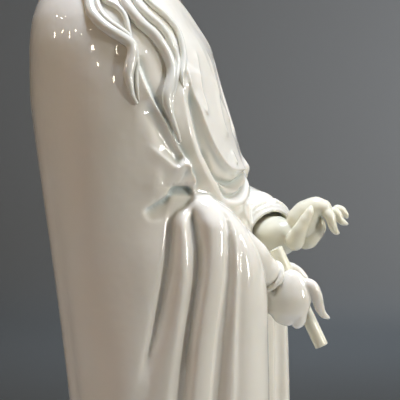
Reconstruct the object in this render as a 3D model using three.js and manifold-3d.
import * as THREE from 'three';
import Module from 'manifold-3d';
import { mergeVertices } from 'three/addons/utils/BufferGeometryUtils.js';

const wasm = await Module();
wasm.setup();

// Driving sizes in millimetres. The figure faces -Y, and its right side is at -X.

const FIGURE_HEIGHT = 512;
const PLINTH_HEIGHT = 40;
const PLINTH_LENGTH = 132;
const PLINTH_DEPTH = 122;
const REST_GAP = 0.3;
const SOCKET_CLEARANCE = 0.6;
const SCROLL_DIAMETER = 5.2;
const SCROLL_LENGTH = 41.5;
const SCROLL_CLEARANCE = 0.3;
const BRACELET_WIRE = 1.9;
const LOBES = 14;
const LOBE_RELIEF = 3;
const FACET_TOLERANCE = 0.25;

// The figure is drawn 512 high from its sole, and every length of it is a share of that.

const DRAWN_HEIGHT = 512;
const SHARE = FIGURE_HEIGHT / DRAWN_HEIGHT;

// Robe by height: z, back, front, centre line, half width, and how square its back half is.

const ROBE = [
  [0, 42, -45, -2, 53, 2.3],
  [8, 41, -44.5, -2, 52, 2.3],
  [30, 36.5, -42, -2, 48.5, 2.4],
  [70, 32, -39.5, -2, 46, 2.5],
  [120, 31, -38, -1, 47.5, 2.6],
  [170, 33.3, -38, 1, 51, 2.7],
  [210, 37, -37, 3, 54, 2.8],
  [236, 39.6, -36, 5, 55.8, 2.8],
  [260, 42.3, -35, 7, 56.8, 2.8],
  [300, 47.6, -33.5, 10, 57.8, 2.7],
  [320, 50.6, -31.2, 12, 58.8, 2.5],
  [344, 53.9, -26, 14, 59.5, 2.3],
  [360, 55.4, -21, 15, 58.5, 2.2],
  [376, 55.5, -16, 17, 55.5, 2.2],
  [386, 54.6, -10, 18, 51.5, 2.2],
  [396, 51.4, -4, 20, 43, 2.2],
  [404, 46.2, 2, 22, 30, 2.2],
];

const ROBE_FRONT_POWER = 2.2;

// Hood by height: z, back, centre line, half width.

const HOOD = [
  [394, 50, 12, 40],
  [404, 50.5, 11, 36],
  [414, 48.5, 10, 32],
  [425, 46.5, 9, 30],
  [440, 44.5, 8, 29.5],
  [456, 41.5, 8, 28.5],
  [468, 38, 8, 26.5],
  [477, 33.5, 7.5, 22.5],
  [485, 28.5, 7, 18.5],
  [494, 24.5, 7, 16],
  [502, 20.5, 6.5, 13.2],
  [508, 15.5, 6, 9.4],
  [512, 9.5, 6, 3.4],
];

// Neck, face and hair inside the hood by height: z, front, half width.

const FACE = [
  [394, 0, 20],
  [404, -1, 14],
  [414, -2, 12],
  [422, -4, 12],
  [425, -9, 12.5],
  [428, -13, 13],
  [434, -13.2, 15.5],
  [441, -13.6, 17.5],
  [450, -13.2, 18.4],
  [457, -14.4, 18.8],
  [466, -14.2, 18.6],
  [470, -15.6, 20.5],
  [480, -13.6, 19.5],
  [492, -8, 15],
  [501, -3.5, 11],
  [508, 0.5, 7],
  [512, 3, 3],
];

// Forms on the face: rise, half width, height, half height, and place across for the pair of eyes.

const NOSE_TIP = [4.4, 2.6, 443.5, 4, 0];
const NOSE_BRIDGE = [1.6, 2.2, 450, 5, 0];
const EYE_HOLLOWS = [-1.7, 4, 450, 3, 7];
const EYELIDS = [0.7, 3, 449, 1.6, 7.5];
const LIPS = [1.2, 4.5, 435.5, 2.2, 0];
const CHIN = [0.9, 5, 428.5, 3, 0];
const FACE_FORMS = [NOSE_TIP, NOSE_BRIDGE, EYE_HOLLOWS, EYELIDS, LIPS, CHIN];

// The hair band starts over the first pair of heights and ends over the second. So does the hood's opening.

const HAIR_RISE = 2.2;
const HAIR_STARTS = [420, 432];
const HAIR_ENDS = [466, 476];
const HOOD_STARTS = [400, 440];
const HOOD_CLOSES = [470, 490];
const HOOD_STEP = 5;

// Long folds down the mantle's back, and pleats of the skirt that grow from the first height to the second.

const BACK_FOLDS = [-128, -156, 156, 128];
const BACK_FOLD_DEPTH = 1.2;
const BACK_FOLD_GROWTH = [380, 250];
const SKIRT_PLEATS = 9;
const SKIRT_GROWTH = [215, 40];
const SKIRT_RISE = 0.8;
const SKIRT_FRONT_RISE = 1.4;

// Small helpers

const rad = THREE.MathUtils.degToRad;
const clamp = THREE.MathUtils.clamp;
const smooth = (start, end, x) => THREE.MathUtils.smoothstep((x - start) / (end - start), 0, 1);
const gauss = (x) => Math.exp(-x * x);
const point = (x, y, z) => new THREE.Vector3(x, y, z);

function columnAt(table, column, z) {
  // monotone cubic through one column of a table whose first column is the height
  const last = table.length - 1;
  const height = clamp(z, table[0][0], table[last][0]);
  let i = 0;
  while (i < last - 1 && height > table[i + 1][0]) i += 1;
  const slope = (k) => (table[k + 1][column] - table[k][column]) / (table[k + 1][0] - table[k][0]);
  const tangent = (k) => {
    if (k === 0) return slope(0);
    if (k === last) return slope(last - 1);
    const before = slope(k - 1);
    const after = slope(k);
    return before * after <= 0 ? 0 : (2 * before * after) / (before + after);
  };
  const step = table[i + 1][0] - table[i][0];
  const t = (height - table[i][0]) / step;
  const a = table[i][column];
  const b = table[i + 1][column];
  const ma = tangent(i) * step;
  const mb = tangent(i + 1) * step;
  const cubic = 2 * a - 2 * b + ma + mb;
  const square = -3 * a + 3 * b - 2 * ma - mb;
  return ((cubic * t + square) * t + ma) * t + a;
}

function superRadius(a, halfWidth, front, back, power) {
  // radius of a superellipse whose front and back half lengths differ; a = 0 is the front
  const s = Math.abs(Math.sin(a)) / halfWidth;
  const c = Math.abs(Math.cos(a)) / (Math.cos(a) > 0 ? front : back);
  return (s ** power + c ** power) ** (-1 / power);
}

// Closed bodies from rings of points

function bodyFromRings(rings) {
  const n = rings[0].length;
  const positions = rings.flat().flatMap((p) => [p.x * SHARE, p.y * SHARE, p.z * SHARE]);
  const index = [];
  for (let i = 0; i + 1 < rings.length; i += 1) {
    for (let j = 0; j < n; j += 1) {
      const k = (j + 1) % n;
      const [a, b, c, d] = [i * n + j, i * n + k, (i + 1) * n + k, (i + 1) * n + j];
      index.push(a, b, d, b, c, d);
    }
  }
  const cap = (ring, first, flip) => {
    const middle = ring.reduce((sum, p) => sum.add(p), point(0, 0, 0)).divideScalar(n);
    const centre = positions.length / 3;
    positions.push(middle.x * SHARE, middle.y * SHARE, middle.z * SHARE);
    for (let j = 0; j < n; j += 1) {
      const k = (j + 1) % n;
      index.push(centre, first + (flip ? k : j), first + (flip ? j : k));
    }
  };
  cap(rings[0], 0, true);
  cap(rings[rings.length - 1], (rings.length - 1) * n, false);
  let volume = 0;
  const at = (i) => point(positions[3 * i], positions[3 * i + 1], positions[3 * i + 2]);
  for (let i = 0; i < index.length; i += 3) {
    volume += at(index[i]).dot(at(index[i + 1]).cross(at(index[i + 2])));
  }
  if (volume < 0) index.reverse();
  return new wasm.Manifold(
    new wasm.Mesh({
      numProp: 3,
      vertProperties: new Float32Array(positions),
      triVerts: new Uint32Array(index),
    }),
  );
}

function bodyFromGeometry(geometry, matrix) {
  // a closed three.js geometry, placed by a matrix in real millimetres
  geometry.deleteAttribute('normal');
  geometry.deleteAttribute('uv');
  const merged = mergeVertices(geometry.applyMatrix4(matrix), 1e-4);
  return new wasm.Manifold(
    new wasm.Mesh({
      numProp: 3,
      vertProperties: new Float32Array(merged.attributes.position.array),
      triVerts: new Uint32Array(merged.index.array),
    }),
  );
}

function placed(centre, axis, from, scale = point(1, 1, 1)) {
  // the matrix that turns the direction from onto axis and moves the origin to a drawn centre
  const turn = new THREE.Quaternion().setFromUnitVectors(from, axis.clone().normalize());
  return new THREE.Matrix4().compose(centre.clone().multiplyScalar(SHARE), turn, scale);
}

function limb(stations, sides, steps, up = point(0, 0, 1), grow = 0) {
  // a tube through stations [x, y, z, half size along up, half size across]
  const last = stations.length - 1;
  const path = new THREE.CatmullRomCurve3(
    stations.map((s) => point(s[0], s[1], s[2])),
    false,
    'centripetal',
  );
  const sizeAt = (t, k) => {
    const i = Math.min(Math.floor(t * last), last - 1);
    return THREE.MathUtils.lerp(stations[i][k], stations[i + 1][k], smooth(0, 1, t * last - i));
  };
  const rings = [];
  for (let i = 0; i <= steps; i += 1) {
    const t = i / steps;
    const along = path.getTangent(t);
    const across = along.clone().cross(up).normalize();
    const high = across.clone().cross(along);
    const centre = path.getPoint(t);
    const ring = [];
    for (let j = 0; j < sides; j += 1) {
      const a = (2 * Math.PI * j) / sides;
      const h = (sizeAt(t, 3) + grow) * Math.cos(a);
      const w = (sizeAt(t, 4) + grow) * Math.sin(a);
      ring.push(centre.clone().addScaledVector(high, h).addScaledVector(across, w));
    }
    rings.push(ring);
  }
  return bodyFromRings(rings);
}

// Robe: a closed surface over angle and height, with folds laid on it as raised paths

function robeBase(a, z) {
  const back = columnAt(ROBE, 1, z);
  const front = columnAt(ROBE, 2, z);
  const centre = columnAt(ROBE, 3, z);
  const half = columnAt(ROBE, 4, z);
  const square = Math.cos(a) > 0 ? ROBE_FRONT_POWER : columnAt(ROBE, 5, z);
  const r = superRadius(a, half, centre - front, back - centre, square);
  return point(r * Math.sin(a), centre - r * Math.cos(a), z);
}

// A fold is a rounded roll laid along a line of degrees and heights, half sunk in the robe

function roll(line, halfWidth, rise, steps) {
  const last = line.length - 1;
  const stations = line.map(([a, z], i) => {
    const p = robeBase(rad(a), z);
    const end = 0.25 + 0.75 * smooth(0, 1.5, Math.min(i, last - i));
    return [p.x, p.y, p.z, rise * end, halfWidth * (0.6 + 0.4 * end)];
  });
  const middle = rad(line[Math.floor(last / 2)][0]);
  return limb(stations, 5, steps, point(Math.sin(middle), -Math.cos(middle), 0.1));
}

const mirrored = (line) => line.map(([a, z]) => [-a, z]);

// Edge of the mantle down each side, collar, and the cowl's folds that sag across the chest

const MANTLE_EDGE = [[-84, 372], [-81, 362], [-78, 354], [-75, 346], [-70, 337], [-67, 331], [-67, 324]];
// The mantle also swells down each side behind the sleeve, as wide as it is deep.

const MANTLE_SWELL = [
  [-124, 120], [-119, 150], [-112, 182], [-106, 212], [-101, 236], [-96, 258], [-90, 278], [-85, 298],
];
const COLLAR = [[-66, 402], [-46, 396], [-26, 386], [-8, 374], [2, 366]];
const COWL_UPPER = [
  [-46, 382], [-42, 368], [-34, 353], [-20, 345], [0, 344], [18, 350], [34, 364], [44, 380],
];
const COWL_INNER = [
  [-61, 372], [-60, 351], [-57, 344], [-51, 337], [-44, 331], [-32, 329], [-14, 334], [8, 346], [30, 360],
  [48, 376],
];
const COWL_MIDDLE = [
  [-64.5, 356], [-62.5, 344], [-58, 333.5], [-51, 326], [-42, 323], [-26, 325], [-4, 334], [22, 348],
  [46, 364],
];
const COWL_OUTER = [
  [-67.5, 346], [-64.5, 334], [-58, 325], [-52, 318], [-43, 316], [-28, 319], [-6, 327], [18, 339],
  [42, 352],
];

// Right elbow: the flap's lower edge, the slot under it, the pocket and the pocket's rim

const FLAP = [[-80, 326], [-76, 324.4], [-73, 323.7], [-69, 325], [-66, 328.5]];
const SLOT = [[-78, 322.4], [-74, 321.6], [-68, 321.8]];
const POCKET = [[-69, 318.5], [-76, 317.3], [-83, 315]];
const POCKET_RIM = [
  [-78.5, 325], [-84.5, 321], [-87.5, 315], [-85, 310], [-80, 309.4], [-74, 311.6], [-69, 311.6],
];

// Each roll: line, half width, rise, steps along it

const ROLLS = [
  [MANTLE_EDGE, 3.6, 2.4, 7],
  [mirrored(MANTLE_EDGE), 3.6, 2.4, 7],
  [MANTLE_SWELL, 11, 6.5, 7],
  [mirrored(MANTLE_SWELL), 11, 6.5, 7],
  [COLLAR, 3, 1.8, 4],
  [mirrored(COLLAR), 3, 1.8, 4],
  [COWL_UPPER, 2.4, 1.8, 8],
  [COWL_INNER, 2.8, 2.6, 10],
  [COWL_MIDDLE, 2.6, 2.4, 10],
  [COWL_OUTER, 2.8, 2.8, 10],
  [FLAP, 2.6, 3, 5],
  [POCKET_RIM, 2, 2.4, 8],
];
const HOLLOWS = [
  [SLOT, 2, 5.5, 3],
  [POCKET, 4.4, 3.4, 4],
];

function mantleRelief(a, z) {
  const degrees = THREE.MathUtils.radToDeg(a);
  let rise = 0;
  for (const centre of BACK_FOLDS) {
    const away = THREE.MathUtils.euclideanModulo(degrees - centre + 180, 360) - 180;
    rise -= BACK_FOLD_DEPTH * gauss(away / 7) * smooth(...BACK_FOLD_GROWTH, z);
  }
  const front = smooth(110, 60, Math.abs(degrees));
  rise += smooth(...SKIRT_GROWTH, z) * (SKIRT_RISE + SKIRT_FRONT_RISE * front) * Math.cos(SKIRT_PLEATS * a);
  return rise;
}

function robeRing(z, angles) {
  return angles.map((degrees) => {
    const a = rad(degrees);
    const base = robeBase(a, z);
    return base.addScaledVector(point(Math.sin(a), -Math.cos(a), 0), mantleRelief(a, z));
  });
}

function spread(from, to, step) {
  const count = Math.round((to - from) / step);
  return Array.from({ length: count }, (_, i) => from + (i * (to - from)) / count);
}

const ROBE_ANGLES = [...spread(-120, 120, 10), ...spread(120, 240, 20)];
const ROBE_HEIGHTS = [
  0, 8, 30, 64, 110, 160, 208, 246, 278, 304, 326, 345, 360, 372, 382, 391, 398, 404,
];

// Head, hood and neck

function headRing(z, angles) {
  const centre = columnAt(HOOD, 2, z);
  const back = columnAt(HOOD, 1, z);
  const hoodHalf = columnAt(HOOD, 3, z);
  const front = columnAt(FACE, 1, z);
  const faceHalf = columnAt(FACE, 2, z);
  return angles.map((degrees) => {
    const a = rad(degrees);
    const side = Math.abs(degrees > 180 ? degrees - 360 : degrees);
    const face = superRadius(a, faceHalf, centre - front, centre - front, 2.1);
    const hood = superRadius(a, hoodHalf, centre - front + HOOD_STEP, back - centre, 2.1);
    const edge = 84 - 60 * smooth(...HOOD_CLOSES, z) - 10 * smooth(...HOOD_STARTS, z);
    const mix = smooth(edge - 3, edge + 5, side);
    const across = Math.abs(face * Math.sin(a));
    const hair = smooth(...HAIR_STARTS, z) * (1 - smooth(...HAIR_ENDS, z));
    let forms = HAIR_RISE * smooth(50, 56, side) * hair;
    for (const [rise, halfWide, height, halfHigh, place] of FACE_FORMS) {
      forms += rise * gauss((across - place) / halfWide) * gauss((z - height) / halfHigh);
    }
    const r = face + (hood - face) * mix + forms * (1 - mix);
    return point(r * Math.sin(a), centre - r * Math.cos(a), z);
  });
}

const HEAD_ANGLES = [...spread(-84, 84, 8), ...spread(84, 276, 27)];
const HEAD_HEIGHTS = [
  394, 405, 415, 422, 425.5, 429, 433, 436, 440, 444, 449, 455, 465, 474, 482, 492, 502, 509, 512,
];

// Sleeves: each hangs from a forearm as a flat bag of pleats, wider towards its hem

// Right sleeve by height: z, back, front, outer side, inner side.

const RIGHT_SLEEVE = [
  [112, 28, -34, -60, -20],
  [118, 29, -35.5, -62, -18],
  [160, 28, -37, -63.5, -18],
  [200, 26, -38, -64, -18],
  [243, 21, -38.4, -63.6, -18],
  [262, 18, -38, -63.2, -18],
  [281, 14, -37.6, -62.6, -19],
  [291, 11, -36.6, -62, -20],
  [298, 8, -34.8, -61.4, -22],
  [306.5, 4, -30.6, -60.4, -26],
  [311, 2, -27, -59.6, -29],
  [314, -1, -24, -58.6, -34],
  [319, -9, -17, -55, -44],
  [320.5, -11, -15, -52, -47],
];

// Grooves between its pleats by height: z, then the place of each groove along Y.

const GROOVES = [
  [112, 19, 2, -14.5, -25],
  [238, 11, -2.6, -17.2, -26.6],
  [268, 5.3, -6.9, -20.6, -27],
  [284, 2.2, -9.9, -22.1, -27.2],
  [300, -0.5, -11, -22.6, -27.1],
  [312, -1.1, -9.2, -21.4, -24.4],
  [321, -12.2, -13, -14, -14.6],
];
const PLEAT_DEPTH = 4;
const SLEEVE_POWER = 3.4;
const PLEAT_SAMPLES = 4;

function rightSleeveRing(z) {
  const [back, front, outer, inner] = [1, 2, 3, 4].map((k) => columnAt(RIGHT_SLEEVE, k, z));
  const middle = point((outer + inner) / 2, (back + front) / 2, z);
  const half = (inner - outer) / 2;
  const length = (back - front) / 2;
  const marks = [back - 0.5, ...[1, 2, 3, 4].map((k) => columnAt(GROOVES, k, z)), front + 0.5];
  const ring = [];
  for (let i = 0; i + 1 < marks.length; i += 1) {
    const width = marks[i] - marks[i + 1];
    for (let j = 0; j < PLEAT_SAMPLES; j += 1) {
      const t = j / PLEAT_SAMPLES;
      const y = marks[i] - t * width;
      const arch = Math.sqrt(4 * t * (1 - t)) - 0.4;
      const rise = PLEAT_DEPTH * Math.min(1, width / 8) * arch;
      const share = Math.min(1, Math.abs((y - middle.y) / length));
      const across = half * (1 - share ** SLEEVE_POWER) ** (1 / SLEEVE_POWER);
      ring.push(point(middle.x - across - rise * smooth(0, 0.3, across / half), y, z));
    }
  }
  const inside = spread(172, 8, -27);
  for (const degrees of inside) {
    const a = rad(degrees);
    const r = superRadius(a, half, length, length, 2.6);
    ring.push(point(middle.x + r * Math.sin(a), middle.y + r * Math.cos(a), z));
  }
  return ring;
}

// Left sleeve by height: z, half length, half thickness, centre x, centre y.

const LEFT_SLEEVE = [
  [108, 38, 14, 28.5, -19.5],
  [114, 39.5, 15.5, 28.5, -19.5],
  [160, 39.5, 15.5, 28.5, -20],
  [220, 38.5, 15, 29, -20.2],
  [256, 37.5, 14.5, 29.5, -20.2],
  [280, 36, 14, 30, -19.5],
  [296, 32, 13, 31, -18],
  [306, 26, 11, 33, -16],
  [312, 16, 7, 35, -14],
];
const LEFT_SLEEVE_TURN = rad(37.5);
const LEFT_PLEATS = 7;
const LEFT_PLEAT_RISE = 1.5;
const LEFT_PLEAT_GROWTH = [312, 290];

function leftSleeveRing(z) {
  const [length, half, x, y] = [1, 2, 3, 4].map((k) => columnAt(LEFT_SLEEVE, k, z));
  const fade = smooth(...LEFT_PLEAT_GROWTH, z);
  return [...spread(-95, 95, 9.5), ...spread(95, 265, 24)].map((degrees) => {
    const a = rad(degrees);
    const r = superRadius(a, length, half, half, 2.5);
    const along = (r * Math.sin(a)) / length;
    const face = smooth(100, 75, Math.abs(degrees));
    const rise = LEFT_PLEAT_RISE * fade * face * Math.cos(along * Math.PI * LEFT_PLEATS * 0.5 + z / 70);
    const u = (r + rise) * Math.sin(a);
    const v = -(r + rise) * Math.cos(a);
    const c = Math.cos(LEFT_SLEEVE_TURN);
    const s = Math.sin(LEFT_SLEEVE_TURN);
    return point(x + u * c - v * s, y + u * s + v * c, z);
  });
}

const LEFT_ARM = [
  [46, 8, 318, 9, 9],
  [47.5, 0, 311, 14.5, 14],
  [40, -10, 308.6, 16, 15.5],
  [29, -18.5, 307.6, 15.8, 15.3],
  [17, -26.8, 306.2, 15.2, 14.8],
  [8, -33, 304.6, 15, 14.8],
  [4, -35.8, 303.7, 13, 13],
  [1.5, -37.6, 303.1, 13.8, 13.4],
  [-1.5, -39.6, 302, 11.4, 11.2],
];

// Locks of hair: their run in degrees and heights, and half width

const NEAR_LOCK = [
  [-108, 401], [-103, 393], [-101.4, 387.5], [-94, 382.5], [-87.3, 378], [-85.3, 372.5], [-87, 365],
  [-86.3, 354],
];
const MIDDLE_LOCK = [
  [-92, 402], [-86.2, 393.2], [-83.7, 386.3], [-78.3, 378.8], [-72.9, 371.5], [-71.4, 366.3],
  [-73.2, 360.3], [-73.4, 354], [-71.2, 340],
];
const FRONT_LOCK = [
  [-84, 402], [-78.4, 393.3], [-74.7, 388], [-68.4, 383.6], [-64.3, 379.1], [-63, 373.9], [-65.8, 361.5],
];
const LOCK_HALF_WIDTH = 2.2;
const LOCK_HALF_THICK = 2;

function lockBody(line, steps) {
  const centre = line.map(([a, z]) => {
    const p = robeBase(rad(a), Math.min(z, ROBE.at(-1)[0]));
    return [p.x, p.y, z];
  });
  const stations = centre.map(([x, y, z], i) => {
    const t = i / (centre.length - 1);
    const k = 1 - smooth(0.72, 1.04, t);
    return [x, y, z, (0.8 + LOCK_HALF_THICK) * (0.35 + 0.65 * k), LOCK_HALF_WIDTH * (0.2 + 0.8 * k)];
  });
  const side = Math.sign(centre[0][0]);
  return limb(stations, 5, steps, point(side, -0.15, 0.2));
}

// Right forearm and hand, pointing down, and the rod of the scroll that it holds

const RIGHT_FOREARM = [
  [-47, -24, 301.9, 8.2, 8],
  [-43, -30.9, 296.7, 7.2, 7],
  [-39.5, -35.5, 291.8, 6.1, 6],
  [-37.6, -39.4, 288.6, 5.5, 5.3],
  [-37, -42.1, 286.6, 5.3, 5.2],
];
const BRACELET_CENTRE = [-38, -38.4, 289];
const BRACELET_RADIUS = 6;
const BRACELET_AXIS = point(0.62, -0.6, -0.5).normalize();
const RIGHT_PALM = [
  [-37, -40.6, 287.6, 5.4, 4.8],
  [-37.6, -45.1, 285.6, 6.8, 5],
  [-38.2, -47.2, 281.4, 7.4, 5],
  [-38.4, -47, 276.9, 6.8, 4.6],
  [-37.6, -46.3, 272.9, 4.9, 3.6],
];
const RIGHT_FINGERS = [
  [
    [-37.6, -50.8, 286.4, 3.2], [-38.4, -54.2, 285, 2.7], [-38.4, -56.3, 281.6, 2.3],
    [-37.6, -57.4, 277.5, 2], [-36.8, -58.9, 274.4, 1.5], [-36, -61.8, 272.4, 0.6],
  ],
  [
    [-39.6, -50.2, 283.5, 2.8], [-40.6, -50.6, 278.6, 2.7],
    [-39.4, -50.2, 273.1, 2.5], [-36.6, -48.6, 268.4, 1.9],
  ],
  [
    [-40, -46.9, 282, 2.7], [-41, -46.5, 277.1, 2.6],
    [-39.6, -45.8, 272.4, 2.4], [-37, -44.8, 269.8, 1.9],
  ],
  [
    [-39.6, -43.5, 282.7, 2.5], [-40.4, -42.7, 278.6, 2.4],
    [-39.2, -41.7, 274.6, 2.2], [-37.4, -40.6, 272.3, 1.8],
  ],
  [
    [-34, -43, 289, 3.2], [-28.6, -45.6, 291, 2.7], [-26, -49.4, 289.6, 2.3],
    [-26, -53.4, 284.6, 1.9], [-27, -54.6, 280.6, 1.5],
  ],
];
const SCROLL_MIDDLE = [-32, -49.9, 280.3];
const SCROLL_LEAN = point(0, -17.8, -37.6).normalize();

// Left forearm and hand, which plug into the left sleeve

const LEFT_FOREARM = [
  [7, -36.2, 301.1, 8.6, 8.6],
  [-1, -39.6, 301.2, 8.6, 8.6],
  [-7, -42.9, 301.9, 8.1, 8],
  [-10.5, -46.3, 303.7, 7.4, 7],
  [-12, -49.8, 306.8, 6.4, 6],
];
const LEFT_PALM = [
  [-10.6, -47.6, 303.4, 7.4, 6.2],
  [-11.5, -51.2, 307, 6.8, 5.6],
  [-12, -54, 311, 5.8, 5],
  [-12, -57.4, 313.6, 4.4, 4.6],
  [-12, -60.8, 313.4, 3.4, 4.4],
  [-11.6, -63.6, 312.5, 2.7, 4.2],
];
const LEFT_FINGERS = [
  [
    [-15, -48.3, 297.6, 3.2], [-17.5, -49.2, 300.9, 3.8], [-19.5, -50.6, 304.5, 3.1],
    [-20, -52.5, 308.5, 2.4], [-20, -54.5, 312, 1.8], [-19.4, -55.5, 315, 0.9],
  ],
  [[-9, -52.4, 297.2, 2], [-9.4, -54.8, 300.6, 3.7], [-10, -57.9, 305.2, 3.8], [-10.5, -60, 309.6, 2.8]],
  [
    [-13.5, -60.6, 312.8, 2.6], [-15.5, -62.9, 310.3, 2.2], [-16, -63.9, 307, 1.8],
    [-15.6, -65, 304.6, 1.4], [-15, -66.9, 303.5, 0.6],
  ],
  [[-10.5, -63, 313, 2.2], [-11, -66, 310.9, 1.9], [-11, -67.8, 308.2, 1.5], [-10.6, -70.6, 306.9, 0.7]],
  [[-7.5, -64.4, 312.8, 2.2], [-7, -67.9, 312.3, 1.8], [-7, -69.7, 310.5, 1.3], [-7, -70.6, 308.9, 0.6]],
];

const withRound = (line) => line.map(([x, y, z, r]) => [x, y, z, r, r]);
const joinAll = (bodies) => bodies.reduce((sum, next) => sum.add(next));

function handBody(palm, fingers, sideways) {
  return joinAll([
    limb(palm, 8, 5, sideways),
    ...fingers.map((line) => limb(withRound(line), 5, 5, point(1, 0.01, 0.02))),
  ]);
}

// Bracelet, toes and the straight rods, for the scroll and for the hole that holds it

function bracelet() {
  const ring = new THREE.TorusGeometry(BRACELET_RADIUS * SHARE, BRACELET_WIRE / 2, 5, 12);
  return bodyFromGeometry(ring, placed(point(...BRACELET_CENTRE), BRACELET_AXIS, point(0, 0, 1)));
}

function toe(side) {
  const ball = new THREE.SphereGeometry(SHARE, 6, 5);
  const axis = point(side * 0.25, -1, 0);
  const matrix = placed(point(side * 17, -40, 6), axis, point(0, 1, 0), point(8, 16, 6));
  return bodyFromGeometry(ball, matrix);
}

function rod(radius, length) {
  const bar = new THREE.CylinderGeometry(radius, radius, length, 12);
  return bodyFromGeometry(bar, placed(point(...SCROLL_MIDDLE), SCROLL_LEAN, point(0, 1, 0)));
}

// Low plinth with a ring of petals between two flat mouldings

function plinthBody() {
  const profile = [
    [0, 0, 0],
    [6, 0, 0],
    [9, -4, 0],
    [17, -3.5, 1],
    [27, -2.5, 1],
    [31, -6, 0],
    [33, -4, 0],
    [PLINTH_HEIGHT, -4, 0],
  ];
  const count = LOBES * 4;
  const rings = profile.map(([z, inset, relief]) =>
    Array.from({ length: count }, (_, j) => {
      const a = (2 * Math.PI * j) / count;
      const petal = Math.abs(Math.cos((a * LOBES) / 2));
      const r = superRadius(a, PLINTH_LENGTH / 2, PLINTH_DEPTH / 2, PLINTH_DEPTH / 2, 2.3);
      const s = (r + inset - LOBE_RELIEF * relief * (1 - petal)) / SHARE;
      return point(s * Math.sin(a), -s * Math.cos(a), z / SHARE);
    }),
  );
  return bodyFromRings(rings);
}

// Assembly

const hollows = HOLLOWS.map((hollow) => roll(...hollow));
const robe = hollows.reduce(
  (body, hollow) => body.subtract(hollow),
  bodyFromRings(ROBE_HEIGHTS.map((z) => robeRing(z, ROBE_ANGLES))),
);
const rolls = ROLLS.map((fold) => roll(...fold));
const head = bodyFromRings(HEAD_HEIGHTS.map((z) => headRing(z, HEAD_ANGLES)));
const rightSleeve = bodyFromRings(
  [112, 118, 160, 205, 243, 272, 292, 304, 311, 315, 318.5, 320.5].map(rightSleeveRing),
);
const leftSleeve = bodyFromRings(
  [108, 114, 160, 215, 262, 286, 300, 307, 312].map(leftSleeveRing),
);
const leftArm = limb(LEFT_ARM, 14, 8);
const locks = [NEAR_LOCK, MIDDLE_LOCK, FRONT_LOCK].flatMap((line) => [
  lockBody(line, 8),
  lockBody(mirrored(line), 6),
]);
const toes = [toe(-1), toe(1)];
const palmSide = point(0, -0.75, 0.66);
const rightHand = handBody(RIGHT_PALM, RIGHT_FINGERS, palmSide);

// The socket is the forearm itself grown by its clearance, and it ends just behind the forearm
const clear = SOCKET_CLEARANCE / SHARE;
const [inner, next] = LEFT_FOREARM.map((s) => point(s[0], s[1], s[2]));
const heel = inner.clone().addScaledVector(inner.clone().sub(next).normalize(), clear);
const socketLine = [[heel.x, heel.y, heel.z, LEFT_FOREARM[0][3], LEFT_FOREARM[0][4]], ...LEFT_FOREARM];
const socket = limb(socketLine, 16, 10, point(0, 0, 1), clear);

const scrollRadius = SCROLL_DIAMETER / 2;
const scroll = rod(scrollRadius, SCROLL_LENGTH);
const grip = rod(scrollRadius + SCROLL_CLEARANCE, SCROLL_LENGTH + 2 * SCROLL_CLEARANCE);

const figureBody = joinAll([
  robe, head, rightSleeve, leftSleeve, leftArm,
  limb(RIGHT_FOREARM, 10, 5), bracelet(), rightHand, ...locks, ...toes, ...rolls,
])
  .simplify(FACET_TOLERANCE)
  .subtract(socket)
  .subtract(grip);
const leftHandBody = limb(LEFT_FOREARM, 12, 5).add(handBody(LEFT_PALM, LEFT_FINGERS, point(0, 0.6, 0.8)));

function toMesh(name, body, color, roughness) {
  const source = body.getMesh();
  const geometry = new THREE.BufferGeometry();
  geometry.setAttribute('position', new THREE.BufferAttribute(new Float32Array(source.vertProperties), 3));
  geometry.setIndex(new THREE.BufferAttribute(new Uint32Array(source.triVerts), 1));
  const merged = mergeVertices(geometry, 1e-4);
  merged.computeVertexNormals();
  const material = new THREE.MeshStandardMaterial({ color, roughness, metalness: 0 });
  const mesh = new THREE.Mesh(merged, material);
  mesh.name = name;
  return mesh;
}

const group = new THREE.Group();
group.name = 'guanyin';
const statue = new THREE.Group();
statue.name = 'statue';
statue.position.z = PLINTH_HEIGHT + REST_GAP;
statue.add(toMesh('figure', figureBody, 0xe9e6dc, 0.12));
statue.add(toMesh('left_hand', leftHandBody, 0xe3ddc6, 0.3));
statue.add(toMesh('scroll', scroll, 0xe2d3be, 0.35));
group.add(statue, toMesh('plinth', plinthBody(), 0xe9e6dc, 0.12));

export default group;
